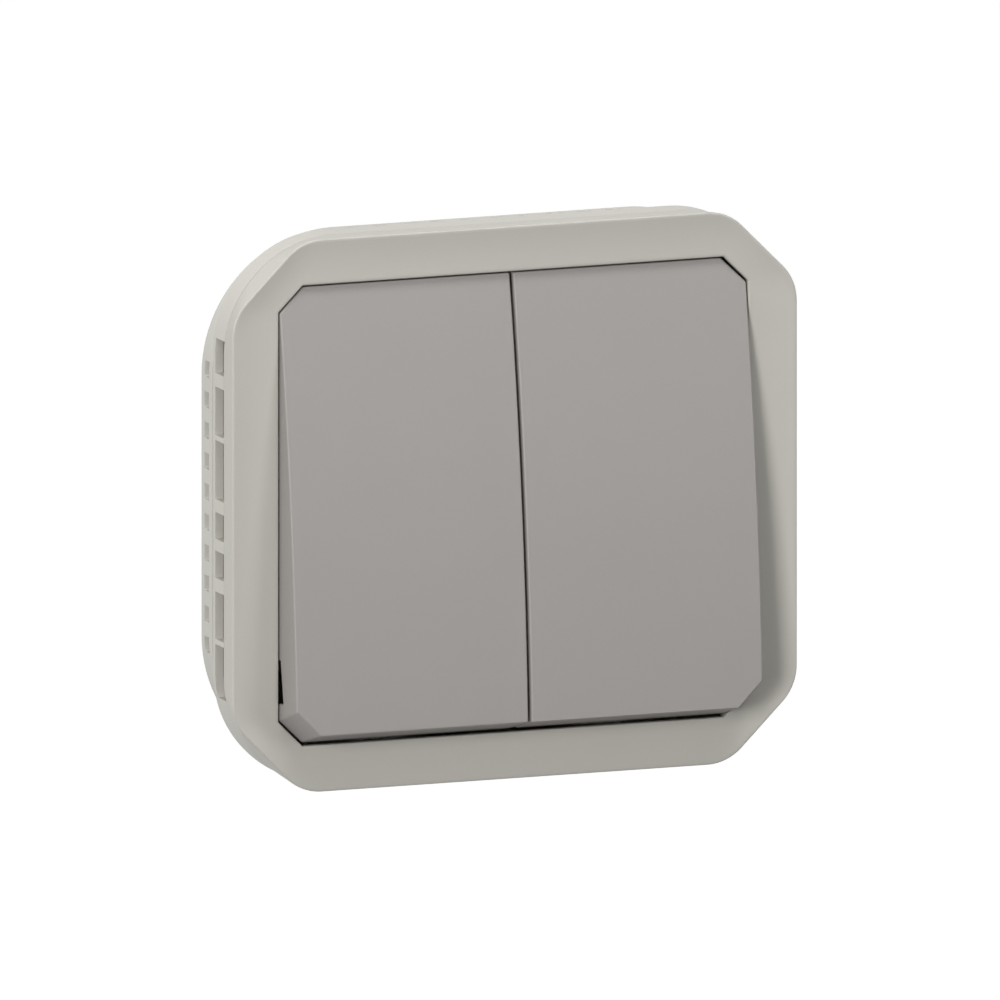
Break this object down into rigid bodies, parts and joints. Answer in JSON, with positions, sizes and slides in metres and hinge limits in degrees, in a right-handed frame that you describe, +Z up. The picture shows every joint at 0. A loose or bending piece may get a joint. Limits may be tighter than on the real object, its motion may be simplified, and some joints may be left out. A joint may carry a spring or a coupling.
{
  "type": "rocker wall switch",
  "caption": "Weatherproof double rocker wall switch with an octagonal bezel, a windowed support frame, a sealing ring and a screwless terminal housing behind.",
  "frame": {"origin": "centre of the seat plane, the rear face of the sealing ring", "axes": "+Z up, -Y out of the wall to the user, +X to the user's right"},
  "size_m": [0.07, 0.0454, 0.065],
  "materials": {
    "bezel_grey": "fine matte moulding, warm light grey",
    "frame_grey": "satin moulding, warm light grey",
    "seal_grey": "soft moulded elastomer, light grey",
    "gasket_rubber": "soft dark elastomer",
    "mechanism_white": "glass-filled plastic, off white",
    "housing_grey": "glass-filled plastic, mid grey",
    "rocker_grey": "fine matte moulding, warm mid grey",
    "carrier_plastic": "low-friction plastic, natural white",
    "button_orange": "orange push buttons",
    "steel": "bright zinc plated or stainless",
    "brass": "stamped strip",
    "silver": "silver alloy contact"
  },
  "bodies": {
    "base": {"bezel": "bezel_grey", "support_frame": "frame_grey", "sealing_ring": "seal_grey", "bezel_gasket": "gasket_rubber", "rocker_membrane": "gasket_rubber", "mechanism_cover": "mechanism_white", "housing": "housing_grey", "contact_deck": "mechanism_white", "module_divider": "mechanism_white", "pivot_axle": "steel", "housing_screws": "steel", "fixed_tips_left": "silver", "clamp_springs_left": "steel", "upper_contact_left": "brass", "middle_contact_left": "brass", "lower_contact_left": "brass", "fixed_tips_right": "silver", "clamp_springs_right": "steel", "upper_contact_right": "brass", "middle_contact_right": "brass", "lower_contact_right": "brass"},
    "rocker_left": {"rocker_left": "rocker_grey", "carrier_left": "carrier_plastic", "plunger_spring_left": "steel"},
    "plunger_left": {"plunger_left": "carrier_plastic"},
    "lever_left": {"contact_lever_left": "brass", "lever_tips_left": "silver"},
    "release_button_upper_left": {"release_button_upper_left": "button_orange"},
    "release_button_middle_left": {"release_button_middle_left": "button_orange"},
    "release_button_lower_left": {"release_button_lower_left": "button_orange"},
    "rocker_right": {"rocker_right": "rocker_grey", "carrier_right": "carrier_plastic", "plunger_spring_right": "steel"},
    "plunger_right": {"plunger_right": "carrier_plastic"},
    "lever_right": {"contact_lever_right": "brass", "lever_tips_right": "silver"},
    "release_button_upper_right": {"release_button_upper_right": "button_orange"},
    "release_button_middle_right": {"release_button_middle_right": "button_orange"},
    "release_button_lower_right": {"release_button_lower_right": "button_orange"}
  },
  "joints": [
    {"name": "rocker_left_tilt", "type": "hinge", "parent": "base", "child": "rocker_left", "pos_m": [0, -0.0059, 0], "axis": [1, 0, 0], "range_deg": [0, 13.4]},
    {"name": "plunger_left_slide", "type": "slide", "parent": "rocker_left", "child": "plunger_left", "axis": [0, -0.9932, 0.1167], "range_m": [0, 0.0005], "stiffness_N_per_m": 400, "springref_m": -0.003},
    {"name": "lever_left_flip", "type": "hinge", "parent": "base", "child": "lever_left", "pos_m": [0, 0.0082, 0], "axis": [1, 0, 0], "range_deg": [-10, 0]},
    {"name": "release_button_upper_left_press", "type": "slide", "parent": "base", "child": "release_button_upper_left", "axis": [0, -1, 0], "range_m": [0, 0.0015], "stiffness_N_per_m": 800, "springref_m": -0.002},
    {"name": "release_button_middle_left_press", "type": "slide", "parent": "base", "child": "release_button_middle_left", "axis": [0, -1, 0], "range_m": [0, 0.0015], "stiffness_N_per_m": 800, "springref_m": -0.002},
    {"name": "release_button_lower_left_press", "type": "slide", "parent": "base", "child": "release_button_lower_left", "axis": [0, -1, 0], "range_m": [0, 0.0015], "stiffness_N_per_m": 800, "springref_m": -0.002},
    {"name": "rocker_right_tilt", "type": "hinge", "parent": "base", "child": "rocker_right", "pos_m": [0, -0.0059, 0], "axis": [1, 0, 0], "range_deg": [0, 13.4]},
    {"name": "plunger_right_slide", "type": "slide", "parent": "rocker_right", "child": "plunger_right", "axis": [0, -0.9932, 0.1167], "range_m": [0, 0.0005], "stiffness_N_per_m": 400, "springref_m": -0.003},
    {"name": "lever_right_flip", "type": "hinge", "parent": "base", "child": "lever_right", "pos_m": [0, 0.0082, 0], "axis": [1, 0, 0], "range_deg": [-10, 0]},
    {"name": "release_button_upper_right_press", "type": "slide", "parent": "base", "child": "release_button_upper_right", "axis": [0, -1, 0], "range_m": [0, 0.0015], "stiffness_N_per_m": 800, "springref_m": -0.002},
    {"name": "release_button_middle_right_press", "type": "slide", "parent": "base", "child": "release_button_middle_right", "axis": [0, -1, 0], "range_m": [0, 0.0015], "stiffness_N_per_m": 800, "springref_m": -0.002},
    {"name": "release_button_lower_right_press", "type": "slide", "parent": "base", "child": "release_button_lower_right", "axis": [0, -1, 0], "range_m": [0, 0.0015], "stiffness_N_per_m": 800, "springref_m": -0.002}
  ],
  "couplings": [
    {"joint": "lever_left_flip", "follows": "rocker_left_tilt", "ratio": -0.74627},
    {"joint": "lever_right_flip", "follows": "rocker_right_tilt", "ratio": -0.74627}
  ]
}
